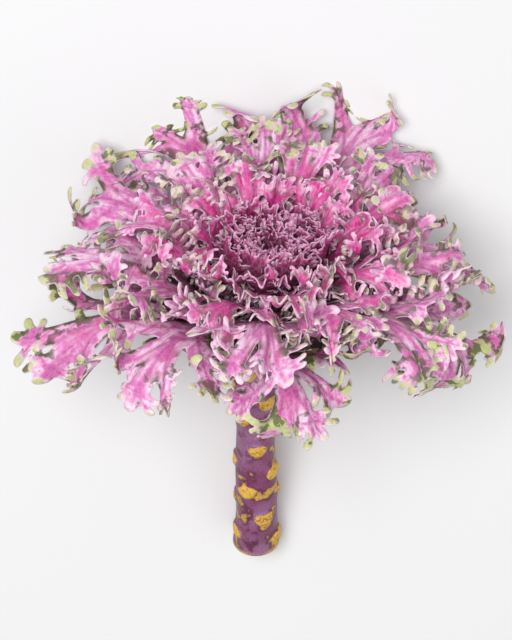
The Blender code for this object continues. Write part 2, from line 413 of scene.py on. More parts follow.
@dataclass(frozen=True)
class Strand:
    """A tapered stretch of rib, vein or finger: from a to b, with its half-widths there."""

    a: Array
    b: Array
    wide_a: float
    wide_b: float
    vein: float
    tip: bool = False

    def near(self, points: Array, margin: float) -> Array:
        """Finds the points that may be close to the strand.

        Args:
            points: Points of the flat leaf.
            margin: How far from the strand's box they may be.

        Returns:
            Their indices.
        """
        room = max(self.wide_a, self.wide_b) + margin
        low, high = np.minimum(self.a, self.b) - room, np.maximum(self.a, self.b) + room
        x, y = points[:, 0], points[:, 1]
        return np.flatnonzero((x > low[0]) & (x < high[0]) & (y > low[1]) & (y < high[1]))

    def measure(self, points: Array) -> tuple[Array, Array]:
        """Measures from the strand.

        Args:
            points: Points of the flat leaf.

        Returns:
            Their distances from its edge, below 0 inside it, and from its middle line.
        """
        line = self.b - self.a
        share = np.clip((points - self.a) @ line / (line @ line), 0.0, 1.0)
        away = np.linalg.norm(points - self.a - share[:, None] * line, axis=1)
        return away - mix(self.wide_a, self.wide_b, share), away


class Rank(Enum):
    """The rank of a branch of the leaf: its vein's half-width, in millimetres."""

    RIB = 1.3
    MAIN = 0.8
    SIDE = 0.5
    FINGER = 0.35


@dataclass(frozen=True)
class Finger:
    """A branch that curls as one: where its curl starts, its tip, and its strands' numbers."""

    root: Array
    tip: Array
    strands: range


@dataclass
class FlatBlade:
    """A leaf laid flat: its rib, lobes and fingers, and the distances that they give."""

    growth: Growth
    finger: float
    fan: float
    fullness: float
    draw: np.random.Generator
    strands: list[Strand] = field(default_factory=list)
    fingers: list["Finger"] = field(default_factory=list)

    def __post_init__(self) -> None:
        """Grows the rib, then every lobe, and then the fingers that find room between them."""
        length, stalk = self.growth.length, self.growth.stalk
        widths = [(place, wide * stalk) for place, wide in STALK_WIDTHS]
        widths += [(place, wide * length) for place, wide in RIB_WIDTHS]
        for (low, wide_low), (high, wide_high) in zip(widths, widths[1:]):
            low_end = np.array([0.0, low * length])
            high_end = np.array([0.0, high * length])
            self.strands.append(Strand(low_end, high_end, wide_low, wide_high, Rank.RIB.value))
        lobes = []
        for side in (1.0, -1.0):
            for lobe in range(LOBES_A_SIDE):
                shift = self.draw.uniform(-LOBE_SHIFT, LOBE_SHIFT)
                along = (lobe + 0.5 + shift) / (LOBES_A_SIDE + LOBE_SPAN)
                x, y = self.growth.edge_point(along, self.draw.uniform(*LOBE_REACH))
                root = np.array([0.0, length * mix(LOWEST_ROOT, HIGHEST_ROOT, along)])
                lobes.append((root, np.array([side * x, y]), side * VEIN_BOW))
        end = np.array([0.0, self.growth.edge_point(1.0, TIP_REACH)[1]])
        root = np.array([0.0, END_ROOT * length])
        lobes.append((root, end, self.draw.uniform(-END_BOW, END_BOW)))
        for lobe in lobes:
            self.grow_main(*lobe)
        for share, reach, angle in SIDE_PAIRS:
            for lobe in lobes:
                for side in (1.0, -1.0):
                    self.grow_side(*lobe, share, reach, math.radians(angle) * side)
        for share in SINGLE_SHARES:
            for lobe in lobes:
                for side in (1.0, -1.0):
                    self.grow_single(*lobe, share, side)

    def branch(
        self, start: Array, end: Array, bow: float, widths: tuple | Array, rank: Rank
    ) -> list[Strand]:
        """One curved branch as four strands.

        Args:
            start: Where it leaves its carrier.
            end: Where it ends.
            bow: How far its middle stands aside, as a share of its length.
            widths: Pairs of a share along it and the half-width there.
            rank: What kind of branch it is.

        Returns:
            Its strands, of which the last ends in the tip of a finger.
        """
        shares, wides = zip(*widths)
        steps = np.linspace(0.0, 1.0, 5)
        points = [on_branch(start, end, bow, t)[0] for t in steps]
        wide = np.interp(steps, shares, wides)
        strands = []
        for i in range(4):
            vein = rank.value * mix(1.0, 0.5, steps[i])
            strands.append(Strand(points[i], points[i + 1], wide[i], wide[i + 1], vein, i == 3))
        return strands

    def grow_main(self, root: Array, tip: Array, bow: float) -> None:
        """Adds the main vein of a lobe, with the blade along it and the fan at its end.

        Args:
            root: Where it leaves the rib.
            tip: Where it ends.
            bow: How it is bowed.
        """
        size = float(np.linalg.norm(tip - root))
        fan = min(self.fan * self.draw.uniform(*FAN_VARIETY), LONGEST_FAN * size)
        body = max(mix(*BODY_SHARES, self.fullness) * size, LEAST_BODY * self.finger)
        hub = 1.0 - fan / size
        widths = (
            (0.0, body),
            (0.5 * hub, 0.8 * body),
            (hub - 0.1, WRIST * fan),
            (hub, PALM * fan),
            (1.0, TIP_WIDE * self.finger),
        )
        first = len(self.strands)
        self.strands += self.branch(root, tip, bow, widths, Rank.MAIN)
        self.grow_fan(*on_branch(root, tip, bow, hub), fan)
        self.add_finger(first + 2, tip)

    def add_finger(self, first: int, tip: Array) -> None:
        """Lets the strands from a number on curl as one."""
        self.fingers.append(Finger(self.strands[first].a, tip, range(first, len(self.strands))))

    def grow_fan(self, hub: Array, heading: Array, size: float) -> None:
        """Adds the outer fingers of a fan, of which the branch itself is the middle one.

        Args:
            hub: Where they meet.
            heading: The direction of the middle one.
            size: Their length from the hub.
        """
        vein = Rank.FINGER.value
        for turn in [turn for turn in FAN_TURNS if turn]:
            way = turned(heading, turn * FAN_SPREAD * self.draw.uniform(*FINGER_TURN))
            long = size * self.draw.uniform(*FINGER_LENGTH) * (1.0 - OUTER_SHORTER * abs(turn))
            finger = self.finger * self.draw.uniform(*FINGER_WIDTH)
            neck, tip = hub + NECK_AT * long * way, hub + long * way
            wide_neck, wide_tip = NECK_WIDE * finger, TIP_WIDE * finger
            self.strands.append(Strand(hub, neck, PALM * size, finger, vein))
            self.strands.append(Strand(neck, tip, wide_neck, wide_tip, vein, True))

    def grow_side(
        self, root: Array, tip: Array, bow: float, share: float, reach: float, turn: float
    ) -> None:
        """Adds a side vein with the fan at its end, where they find room.

        Args:
            root: Where the lobe's main vein starts.
            tip: Where it ends.
            bow: How the main vein is bowed.
            share: Where the side vein leaves it.
            reach: The side vein's length, as a share of the main vein's.
            turn: The angle between the two.
        """
        shift = self.draw.uniform(-BRANCH_SHIFT, BRANCH_SHIFT)
        start, heading = on_branch(root, tip, bow, share + shift)
        way = turned(heading, turn * self.draw.uniform(*SIDE_TURN))
        longest = float(np.linalg.norm(tip - root)) * reach * self.draw.uniform(*SIDE_LENGTH)
        for long in np.array(SIDE_SIZES) * longest:
            fan = min(SIDE_FAN * self.fan, SIDE_FAN_SHARE * long)
            hub, end = start + (long - fan) * way, start + long * way
            spread = [hub + fan * turned(way, angle * FAN_SPREAD) for angle in FAN_TURNS]
            worth = fan > LEAST_FAN * self.finger
            if worth and self.has_room(np.array(spread), SIDE_ROOM * self.finger):
                first = len(self.strands)
                widths = ((0.0, 0.5 * fan), (0.5, 0.34 * fan), (1.0, TIP_WIDE * self.finger))
                self.strands += self.branch(start, end, 0.0, widths, Rank.SIDE)
                self.grow_fan(hub, way, fan)
                self.add_finger(first + 1, end)
                return

    def grow_single(self, root: Array, tip: Array, bow: float, share: float, side: float) -> None:
        """Adds one short finger beside a lobe's main vein, where it finds room.

        Args:
            root: Where the lobe's main vein starts.
            tip: Where it ends.
            bow: How the main vein is bowed.
            share: Where the finger leaves it.
            side: The side that it stands on, 1 or -1.
        """
        shift = self.draw.uniform(-BRANCH_SHIFT, BRANCH_SHIFT)
        start, heading = on_branch(root, tip, bow, share + shift)
        way = turned(heading, side * SINGLE_ANGLE * self.draw.uniform(*SINGLE_TURN))
        for long in np.array(SINGLE_SIZES) * self.finger:
            end = start + long * way
            middle = start + MIDDLE_AT * long * way
            free = self.has_room(np.array([end]), SINGLE_ROOM * self.finger)
            if free and self.has_room(np.array([middle]), MIDDLE_ROOM * self.finger):
                first = len(self.strands)
                widths = np.array(((0.0, 1.6), (0.6, NECK_WIDE), (1.0, TIP_WIDE)))
                widths[:, 1] *= self.finger
                self.strands += self.branch(start, end, 0.0, widths, Rank.FINGER)
                self.add_finger(first + 1, end)
                return

    def has_room(self, points: Array, room: float) -> bool:
        """Whether new growth finds room.

        Args:
            points: Where it would reach.
            room: How far clear of what has grown each point has to be.

        Returns:
            Whether every point stands clear.
        """
        points = points[:, None]
        start = np.array([strand.a for strand in self.strands])
        line = np.array([strand.b for strand in self.strands]) - start
        wide = np.array([(strand.wide_a, strand.wide_b) for strand in self.strands]).T
        share = np.clip(((points - start) * line).sum(axis=2) / (line**2).sum(axis=1), 0.0, 1.0)
        away = np.linalg.norm(points - start - share[..., None] * line, axis=2) - mix(*wide, share)
        return bool(away.min() > room)

    def outside(self, points: Array) -> Array:
        """Measures from the leaf's edge, with the corners between strands webbed.

        Args:
            points: Points of the flat leaf.

        Returns:
            The distance of each outside the edge, below 0 inside it.
        """
        web = WEB * self.finger
        near = np.full(len(points), EDGE_REACH * self.finger)
        for strand in self.strands:
            some = strand.near(points, EDGE_REACH * self.finger)
            if not len(some):
                continue
            away = strand.measure(points[some])[0]
            share = np.clip(0.5 + 0.5 * (near[some] - away) / web, 0.0, 1.0)
            near[some] = mix(near[some], away, share) - web * share * (1.0 - share)
        return near

    def veins(self, points: Array) -> Array:
        """Measures from the veins.

        Args:
            points: Points of the flat leaf.

        Returns:
            The distance of each from the nearest vein, in half-widths of that vein.
        """
        near = np.full(len(points), FAR_VEIN)
        for strand in self.strands:
            some = strand.near(points, 0.0)
            if len(some):
                away = strand.measure(points[some])[1] / (strand.vein * MM)
                near[some] = np.minimum(near[some], away)
        return near

    def owners(self, points: Array) -> Array:
        """Tells the strands that points belong to.

        Args:
            points: Points of the flat leaf.

        Returns:
            For each, the number of the strand whose edge is the farthest beyond it, or -1.
        """
        owner = np.full(len(points), -1)
        near = np.full(len(points), OWNER_REACH * self.finger)
        for number, strand in enumerate(self.strands):
            some = strand.near(points, OWNER_REACH * self.finger)
            away = strand.measure(points[some])[0]
            nearer = away < near[some]
            near[some[nearer]] = away[nearer]
            owner[some[nearer]] = number
        return owner

    def tips(self, points: Array) -> Array:
        """Measures from the ends of the fingers.

        Args:
            points: Points of the flat leaf.

        Returns:
            The distance of each from the nearest end.
        """
        near = np.full(len(points), FAR_TIP)
        for strand in self.strands:
            if strand.tip:
                near = np.minimum(near, np.linalg.norm(points - strand.b, axis=1))
        return near


@dataclass
class FringedBlade(FlatBlade):
    """A blade of the heart laid flat: rounded, with a fringe of short fingers."""

    middle: float = 0.60
    round: float = 0.34
    low: float = 0.24
    fringe: tuple[float, float] = (1.3 * MM, 3.2 * MM)
    spread: float = math.radians(112.0)
    lobes: float = 4.5
    gap: float = 2.9
    low_wide: float = 0.45
    sink: float = 1.5
    variety: tuple[float, float] = (0.8, 1.2)
    sway: float = 0.3
    vein_bow: float = 0.08
    vein_places: tuple[float, ...] = (-0.9, -0.6, -0.3, 0.0, 0.3, 0.6, 0.9)

    def __post_init__(self) -> None:
        """Grows the rounded blade, its veins and its fringe."""
        length, stalk = self.growth.length, self.growth.stalk
        centre, size = np.array([0.0, self.middle * length]), self.round * length
        foot_place, foot_wide = STALK_WIDTHS[0]
        foot = np.array([0.0, foot_place * length])
        low = np.array([0.0, self.low * length])
        waist, rib = self.low_wide * size, Rank.RIB.value
        self.strands.append(Strand(foot, low, foot_wide * stalk, waist, rib))
        self.strands.append(Strand(low, centre, waist, size, rib))
        for share in self.vein_places:
            heading = turned(np.array([0.0, 1.0]), share * self.spread)
            root = mix(low, centre, 1.0 - abs(share))
            end = centre + heading * size
            bow = self.vein_bow * share
            vein = self.branch(root, end, bow, ((0.0, self.finger),), Rank.SIDE)
            self.strands += vein[:3]
        count = int(2.0 * self.spread * size / (self.gap * self.finger))
        for place in np.linspace(-1.0, 1.0, count):
            self.grow_fringe(centre, size, place * self.spread)

    def grow_fringe(self, centre: Array, size: float, turn: float) -> None:
        """Adds one finger of the fringe.

        Args:
            centre: The middle of the rounded blade.
            size: The blade's radius.
            turn: Where the finger stands, as an angle from the blade's end.
        """
        wave = abs(math.sin(self.lobes * turn / 2.0))
        long = mix(*self.fringe, wave) * self.draw.uniform(*self.variety)
        heading = turned(np.array([0.0, 1.0]), turn)
        root = centre + heading * (size - self.sink * self.finger)
        way = turned(heading, self.draw.uniform(-self.sway, self.sway))
        neck, tip = root + way * 0.6 * long, root + way * (long + self.sink * self.finger)
        first, vein = len(self.strands), Rank.FINGER.value
        self.strands.append(Strand(root, neck, 1.3 * self.finger, 0.9 * self.finger, vein))
        self.strands.append(Strand(neck, tip, 0.9 * self.finger, 1.1 * self.finger, vein, True))
        self.add_finger(first, tip)


def on_branch(start: Array, end: Array, bow: float, share: float) -> tuple[Array, Array]:
    """Follows a curved branch.

    Args:
        start: Where it starts.
        end: Where it ends.
        bow: How far its middle stands aside, as a share of its length.
        share: How far along it to go.

    Returns:
        The point there, and the branch's direction.
    """
    line = end - start
    aside = np.array([line[1], -line[0]])
    point = start + line * share + aside * bow * 4.0 * share * (1.0 - share)
    heading = line + aside * bow * 4.0 * (1.0 - 2.0 * share)
    return point, heading / np.linalg.norm(heading)


def turned(heading: Array, angle: float) -> Array:
    """A direction in the plane, turned by an angle."""
    cos, sin = math.cos(angle), math.sin(angle)
    return np.array([heading[0] * cos + heading[1] * sin, heading[1] * cos - heading[0] * sin])


def deselect() -> None:
    """Leaves edit mode, if it is on, and deselects everything."""
    if bpy.context.object and bpy.context.object.mode != "OBJECT":
        bpy.ops.object.mode_set(mode="OBJECT")
    bpy.ops.object.select_all(action="DESELECT")


def write_attribute(mesh: bpy.types.Mesh, name: str, values: Array) -> None:
    """Stores three numbers for each vertex of a mesh."""
    made = mesh.attributes.new(name, "FLOAT_VECTOR", "POINT")
    made.data.foreach_set("vector", np.ascontiguousarray(values, np.float32).ravel())


@dataclass
class Frill:
    """How a leaf's margin waves and curls beyond its large waves."""

    height: float
    count: float
    curl: float
    hinge: float
    bias: float
    rolls: float
    inner: float
    roll: float
    thin: float = 1.0


@dataclass
class LeafBlade:
    """A feathery leaf, cut from a grid to its outline, bent into place and given its thickness."""

    name: str
    growth: Growth
    finger: float
    fan: float
    fullness: float
    step: float
    frill: Frill
    seed: int
    kind: type[FlatBlade] = FlatBlade
    looks_hub: float = 0.18
    flat: FlatBlade = field(init=False)
    draw: np.random.Generator = field(init=False)

    def __post_init__(self) -> None:
        """Lays the leaf out flat."""
        self.draw = np.random.default_rng(self.seed)
        self.flat = self.kind(self.growth, self.finger, self.fan, self.fullness, self.draw)

    def build(self) -> bpy.types.Object:
        """Models the leaf.

        Returns:
            The finished object, with its upper face in slot 0 and its underside in slot 1.
        """
        leaf, spots, outside = self.cut_out()
        veins = self.flat.veins(spots)
        thick = self.thickness(spots, outside, veins)
        places = self.bend(spots, thick)
        kept = self.drop_stretched(leaf, places)
        leaf.data.vertices.foreach_set("co", places[kept].astype(np.float32).ravel())
        self.write_looks(leaf.data, spots[kept], outside[kept], veins[kept])
        self.thicken(leaf, thick[kept])
        return leaf

    def drop_stretched(self, leaf: bpy.types.Object, places: Array) -> Array:
        """Deletes the faces that would be torn between a curled finger and its neighbour.

        Args:
            leaf: The flat leaf.
            places: Where its vertices go.

        Returns:
            For each vertex, whether it is kept.
        """
        corners = np.empty(4 * len(leaf.data.polygons), int)
        leaf.data.polygons.foreach_get("vertices", corners)
        corners = corners.reshape(-1, 4)
        sides = np.linalg.norm(places[corners] - places[np.roll(corners, 1, axis=1)], axis=2)
        torn = sides.max(axis=1) > TEAR * self.step
        delete_faces(leaf, torn)
        kept = np.zeros(len(places), bool)
        kept[corners[~torn]] = True
        return kept

    def cut_out(self) -> tuple[bpy.types.Object, Array, Array]:
        """Adds a grid and cuts it to the leaf's outline.

        Returns:
            The flat leaf as an object, the place of each of its vertices as x and y, and the
            distance of each outside the leaf's edge.
        """
        ends = np.array([strand.b for strand in self.flat.strands])
        half = float(np.abs(ends[:, 0]).max()) + GRID_PAST * self.finger
        top = float(ends[:, 1].max()) + GRID_PAST * self.finger
        bottom = -1.0 * MM
        columns = int(math.ceil(2.0 * half / self.step))
        rows = int(math.ceil((top - bottom) / self.step))
        xs = np.linspace(-half, half, columns + 1)
        ys = np.linspace(bottom, top, rows + 1)
        grid = np.stack(np.meshgrid(xs, ys), axis=-1).reshape(-1, 2)
        outside = self.flat.outside(grid).reshape(rows + 1, columns + 1)
        corners = (outside[:-1, :-1], outside[1:, :-1], outside[:-1, 1:], outside[1:, 1:])
        keep = without_pinches(sum(corners) < 0.0)
        leaf = add_grid(self.name, columns, rows)
        delete_faces(leaf, ~keep.ravel())
        bpy.ops.object.mode_set(mode="EDIT")
        bpy.ops.mesh.select_all(action="SELECT")
        bpy.ops.mesh.flip_normals()
        bpy.ops.object.mode_set(mode="OBJECT")
        cells = np.zeros((rows + 2, columns + 2), int)
        cells[1:-1, 1:-1] = keep
        shared = cells[:-1, :-1] + cells[1:, :-1] + cells[:-1, 1:] + cells[1:, 1:]
        used = shared.ravel() > 0
        spots, outside = grid[used], outside.ravel()[used]
        rim = (shared.ravel() < 4)[used]
        spots[rim] = self.onto_edge(spots[rim])
        outside[rim] = 0.0
        return leaf, spots, outside

    def onto_edge(self, spots: Array) -> Array:
        """Moves points onto the leaf's edge.

        Args:
            spots: Points near it, as x and y.

        Returns:
            The moved points.
        """
        step, least_steep, farthest = 0.05 * MM, 0.25, 0.7 * self.step
        for _ in range(3):
            here = self.flat.outside(spots)
            slope_x = (self.flat.outside(spots + (step, 0.0)) - here) / step
            slope_y = (self.flat.outside(spots + (0.0, step)) - here) / step
            steep = np.maximum(slope_x**2 + slope_y**2, least_steep)
            move = np.clip(here / steep, -farthest, farthest)
            spots = spots - np.column_stack([move * slope_x, move * slope_y])
        return spots

    def full_reach(self, turn: Array) -> Array:
        """Tells how far the whole blade reaches from its hub.

        Args:
            turn: Directions, as angles from the rib.

        Returns:
            The distance in each.
        """
        hub = HUB_SHARE * self.growth.length
        points = [self.growth.edge_point(along, 1.0) for along in np.linspace(0.0, 1.0, 12)]
        turns = [math.atan2(x, y - hub) for x, y in points]
        reaches = [math.hypot(x, y - hub) for x, y in points]
        return np.interp(np.abs(turn), turns[::-1], reaches[::-1])

    def bend(self, spots: Array, thick: Array) -> Array:
        """Bends, curls and waves the flat leaf into its place in the plant.

        Args:
            spots: The flat leaf's vertices as x and y.
            thick: The leaf's thickness at each.

        Returns:
            The vertices in the frame of the solids.
        """
        (x, y), rolled = self.curl_fingers(spots)
        hub = HUB_SHARE * self.growth.length
        turn, away = np.arctan2(x, y - hub), np.hypot(x, y - hub)
        full = self.full_reach(turn)
        fade = ease(*FADE, np.abs(turn))
        hinge = self.frill.hinge * full
        beyond = np.clip(away - hinge, 0.0, None)
        curl = self.curl(turn) * self.frill.curl * fade / (full - hinge)
        curl = np.where(np.abs(curl) < LEAST_CURL, LEAST_CURL, curl)
        away = np.where(beyond > 0.0, hinge + np.sin(curl * beyond) / curl, away)
        raised = (1.0 - np.cos(curl * beyond)) / curl
        outward = ease(self.frill.inner, 1.0, away / full)
        raised = raised + self.frill.height * outward * self.waves(turn) * fade
        x, y = away * np.sin(turn), hub + away * np.cos(turn)
        raised = raised + rolled - RIB_BELOW * (thick - BLADE_THICK)
        here, normal = self.growth.surface_and_normal(x, y)
        return press(lay_down(here + normal * raised[:, None]), thick / 2)

    def curl_fingers(self, spots: Array) -> tuple[Array, Array]:
        """Curls every finger up or down along its own length.

        Args:
            spots: The flat leaf's vertices as x and y.

        Returns:
            Their new x and y as two rows, and how far each is raised.
        """
        owner = self.flat.owners(spots)
        moved, raised = spots.copy(), np.zeros(len(spots))
        for finger in self.flat.fingers:
            own = (owner >= finger.strands.start) & (owner < finger.strands.stop)
            line = finger.tip - finger.root
            long = float(np.linalg.norm(line))
            along = (spots[own] - finger.root) @ line / long
            own[own] = along > 0.0
            along = along[along > 0.0]
            roll = self.draw.normal(0.0, self.frill.roll)
            aside = abs(finger.tip[0]) > ROLLS_ASIDE * self.growth.length
            if not aside:
                roll = max(-MILD_ROLL, min(MILD_ROLL, roll))
            if self.draw.uniform() < self.frill.rolls and aside:
                roll = self.draw.uniform(*TIGHT_ROLL)
            bend = math.copysign(max(abs(roll), LEAST_ROLL), roll) / long
            swept = np.sin(bend * along) / bend - along
            moved[own] += swept[:, None] * line / long
            raised[own] = (1.0 - np.cos(bend * along)) / bend
        return moved.T, raised

    def curl(self, turn: Array) -> Array:
        """Tells how strongly the margin curls.

        Args:
            turn: Directions, as angles from the rib.

        Returns:
            The curl in each, below 0 where the margin curls down.
        """
        draw = np.random.default_rng(self.seed + CURL_SEED)
        total = np.full_like(turn, self.frill.bias)
        for count, share in CURL_WAVES:
            waves = count * draw.uniform(0.9, 1.1)
            phase = draw.uniform(0.0, 2.0 * math.pi)
            total += share * np.sin(waves * turn + phase)
        return np.clip(total, -CURL_LIMIT, CURL_LIMIT)

    def waves(self, turn: Array) -> Array:
        """Tells the small waves of the margin.

        Args:
            turn: Directions, as angles from the rib.

        Returns:
            The height of the waves in each, from -1 to 1.
        """
        draw = np.random.default_rng(self.seed + WAVE_SEED)
        total = np.zeros_like(turn)
        for share, part in FRILL_WAVES:
            phase = draw.uniform(0.0, 2.0 * math.pi)
            total += part * np.sin(self.frill.count * share * turn + phase)
        return total

    def thickness(self, spots: Array, outside: Array, veins: Array) -> Array:
        """Tells how thick the leaf is.

        Args:
            spots: Points of the flat leaf, as x and y.
            outside: Their distances outside its edge.
            veins: Their distances from the veins.

        Returns:
            The thickness at each.
        """
        x, y = spots.T
        length = self.growth.length
        edge = ease(0.0, EDGE_WIDTH, -outside)
        blade = mix(EDGE_THICK, BLADE_THICK, edge) * self.frill.thin
        share = np.clip(y / (BLADE_END * length), 0.0, 1.0)
        half = mix(RIB_FOOT_WIDE * self.growth.stalk, RIB_END_WIDE, share**RIB_PACE)
        rib = mix(STALK_THICK * self.growth.stalk / LEAF_STALK[0], RIB_END_THICK, share)
        round_rib = np.sqrt(np.clip(1.0 - (x / half) ** 2, 0.0, 1.0))
        side = VEIN_THICK * self.frill.thin * np.exp(-(veins**2)) * edge
        return blade + np.maximum((rib - blade) * round_rib, side)

    def write_looks(
        self, mesh: bpy.types.Mesh, spots: Array, outside: Array, veins: Array
    ) -> None:
        """Stores what the finishes read at each vertex.

        Args:
            mesh: The leaf's mesh.
            spots: Its vertices on the flat leaf, as x and y.
            outside: Their distances outside the leaf's edge.
            veins: Their distances from the veins.
        """
        x, y = spots.T
        length, same = self.growth.length, np.ones(len(x))
        turn = np.arctan2(x, y - self.looks_hub * length)
        lot = np.random.default_rng(self.seed + LOT_SEED).uniform(size=1)[0]
        tips = self.flat.tips(spots) / MM
        columns = {
            "blade": [-outside / MM, veins, tips],
            "fan": [turn, y / length, self.seed * LOT_STEP * same],
            "made": [self.growth.age * same, lot * same, self.curl(turn)],
        }
        for name, values in columns.items():
            write_attribute(mesh, name, np.column_stack(values))

    def thicken(self, leaf: bpy.types.Object, thick: Array) -> None:
        """Gives the sheet its thickness, with the underside in the second material slot.

        Args:
            leaf: The bent leaf.
            thick: The thickness at each of its vertices.
        """
        group = leaf.vertex_groups.new(name="thickness")
        share = np.clip(thick / STALK_THICK, 0.0, 1.0)
        level = np.round(share * THICK_LEVELS).astype(int)
        for value in np.unique(level):
            group.add(np.flatnonzero(level == value).tolist(), value / THICK_LEVELS, "REPLACE")
        solid = leaf.modifiers.new("thickness", "SOLIDIFY")
        solid.thickness = STALK_THICK
        solid.offset = 0.0
        solid.vertex_group = group.name
        solid.material_offset = 1
        bpy.ops.object.modifier_apply(modifier=solid.name)
        leaf.vertex_groups.clear()
        bpy.ops.object.shade_smooth()


def add_grid(name: str, columns: int, rows: int) -> bpy.types.Object:
    """Adds a flat grid and makes it the only selected object.

    Args:
        name: Its name.
        columns: How many faces it has along x.
        rows: How many it has along y.

    Returns:
        The grid.
    """
    deselect()
    bpy.ops.mesh.primitive_grid_add(x_subdivisions=columns, y_subdivisions=rows, size=1.0)
    grid = bpy.context.object
    grid.name = name
    return grid


def delete_faces(piece: bpy.types.Object, drop: Array) -> None:
    """Deletes faces, with what only they use.

    Args:
        piece: The object that has them.
        drop: For each of its faces, whether it goes.
    """
    bpy.ops.object.mode_set(mode="EDIT")
    bpy.ops.mesh.select_mode(type="FACE")
    bpy.ops.mesh.select_all(action="DESELECT")
    bpy.ops.object.mode_set(mode="OBJECT")
    piece.data.polygons.foreach_set("select", drop)
    bpy.ops.object.mode_set(mode="EDIT")
    bpy.ops.mesh.delete(type="FACE")
    bpy.ops.object.mode_set(mode="OBJECT")


def without_pinches(keep: Array) -> Array:
    """Adds cells where two kept ones would touch at a bare corner only.

    Args:
        keep: For each cell of the grid, whether it is kept.

    Returns:
        The same, with the joining cells added.
    """
    keep = keep.copy()
    for _ in range(2):
        a, b, c, d = keep[:-1, :-1], keep[1:, :-1], keep[:-1, 1:], keep[1:, 1:]
        falling = a & d & ~b & ~c
        rising = b & c & ~a & ~d
        keep[1:, :-1] |= falling
        keep[:-1, :-1] |= rising
    return keep


@dataclass
class Number:
    """A number that varies over a surface: a socket that takes part in Python's sums."""

    board: "Board"
    socket: bpy.types.NodeSocket

    def made(self, operation: str, *others: "Number | float") -> "Number":
        """A Math node of this number and the others."""
        return self.board.number("ShaderNodeMath", {"operation": operation}, [self, *others])

    def __add__(self, other: "Number | float") -> "Number":
        """The sum."""
        return self.made("ADD", other)

    __radd__ = __add__

    def __mul__(self, other: "Number | float") -> "Number":
        """The product."""
        return self.made("MULTIPLY", other)

    __rmul__ = __mul__

    def __sub__(self, other: "Number | float") -> "Number":
        """The difference."""
        return self.made("SUBTRACT", other)

    def __rsub__(self, other: float) -> "Number":
        """A plain number less this one."""
        return self.board.number("ShaderNodeMath", {"operation": "SUBTRACT"}, [other, self])

    def bell(self, steep: float) -> "Number":
        """A bell curve, 1 where this number is 0."""
        return (self * self * -steep).made("EXPONENT")

    def step(self, low: float, high: float) -> "Number":
        """A smooth step from 0 at low to 1 at high."""
        settings = {"interpolation_type": "SMOOTHSTEP"}
        return self.board.number("ShaderNodeMapRange", settings, [self, low, high, 0.0, 1.0])


class Board:
    """The node tree of one material."""

    def __init__(self, name: str) -> None:
        """Adds a material with its one Principled shader.

        Args:
            name: The material's name.
        """
        self.material = bpy.data.materials.new(name)
        self.material.use_nodes = True
        self.tree = self.material.node_tree
        self.surface = self.tree.nodes["Principled BSDF"]

    def node(self, kind: str, settings: dict, inputs: dict | list) -> bpy.types.Node:
        """Adds a node.

        Args:
            kind: The node's type.
            settings: Its properties, which are set first.
            inputs: Its sockets' values or links, by name or in order.

        Returns:
            The node.
        """
        made = self.tree.nodes.new(kind)
        for name, value in settings.items():
            setattr(made, name, value)
        pairs = inputs.items() if isinstance(inputs, dict) else enumerate(inputs)
        for key, value in pairs:
            self.feed(made.inputs[key], value)
        return made

    def feed(self, socket: bpy.types.NodeSocket, value: object) -> None:
        """Links or sets one socket.

        Args:
            socket: The socket.
            value: What it gets: a number that varies, a link, a colour or a plain value.
        """
        if isinstance(value, Number):
            self.tree.links.new(value.socket, socket)
        elif isinstance(value, bpy.types.NodeSocket):
            self.tree.links.new(value, socket)
        elif isinstance(value, tuple) and len(value) == 3 and len(socket.default_value) == 4:
            socket.default_value = (*value, 1.0)
        else:
            socket.default_value = value

    def number(
        self, kind: str, settings: dict, inputs: dict | list, output: int | str = 0
    ) -> Number:
        """Adds a node and gives one of its outputs as a number."""
        return Number(self, self.node(kind, settings, inputs).outputs[output])

    def read(self, name: str) -> list[Number]:
        """Reads what a mesh stores at each vertex.

        Args:
            name: The name that it is stored under.

        Returns:
            Its three numbers.
        """
        stored = self.node("ShaderNodeAttribute", {"attribute_name": name}, {})
        parts = self.node("ShaderNodeSeparateXYZ", {}, {0: stored.outputs["Vector"]})
        return [Number(self, output) for output in parts.outputs]

    def place(self) -> bpy.types.NodeSocket:
        """The place on the piece."""
        return self.node("ShaderNodeTexCoord", {}, {}).outputs["Object"]

    def point(self, *numbers: Number | float) -> bpy.types.NodeSocket:
        """A vector made of three numbers."""
        return self.node("ShaderNodeCombineXYZ", {}, list(numbers)).outputs[0]

    def noise(self, where: bpy.types.NodeSocket, scale: float, detail: float = 2.0) -> Number:
        """Soft noise from 0 to 1 at a vector."""
        inputs = {"Vector": where, "Scale": scale, "Detail": detail}
        return self.number("ShaderNodeTexNoise", {}, inputs, "Fac")

    def net(self, where: bpy.types.NodeSocket, scale: float) -> Number:
        """A net of fine lines, as the smallest veins make.

        Args:
            where: The vector that it follows.
            scale: How fine it is.

        Returns:
            1 on a line and 0 within the meshes.
        """
        inputs = {"Vector": where, "Scale": scale, "Randomness": 1.0}
        settings = {"feature": "DISTANCE_TO_EDGE"}
        mesh = self.number("ShaderNodeTexVoronoi", settings, inputs, "Distance")
        return 1.0 - mesh.step(0.0, 0.16)

    def blend(self, base: object, over: object, share: Number | float) -> bpy.types.NodeSocket:
        """One colour over another, by a share."""
        settings = {"data_type": "RGBA", "clamp_factor": True}
        return self.node("ShaderNodeMix", settings, {0: share, 6: base, 7: over}).outputs[2]

    def bump(self, height: Number, strength: float, distance: float) -> bpy.types.NodeSocket:
        """The surface's normal, tipped by a height."""
        inputs = {"Height": height, "Strength": strength, "Distance": distance}
        return self.node("ShaderNodeBump", {}, inputs).outputs["Normal"]

    def finish(self, **inputs: object) -> bpy.types.Material:
        """Feeds the shader.

        Args:
            **inputs: Its sockets' values by name, with _ for a space.

        Returns:
            The material.
        """
        for name, value in inputs.items():
            self.feed(self.surface.inputs[name.replace("_", " ")], value)
        return self.material


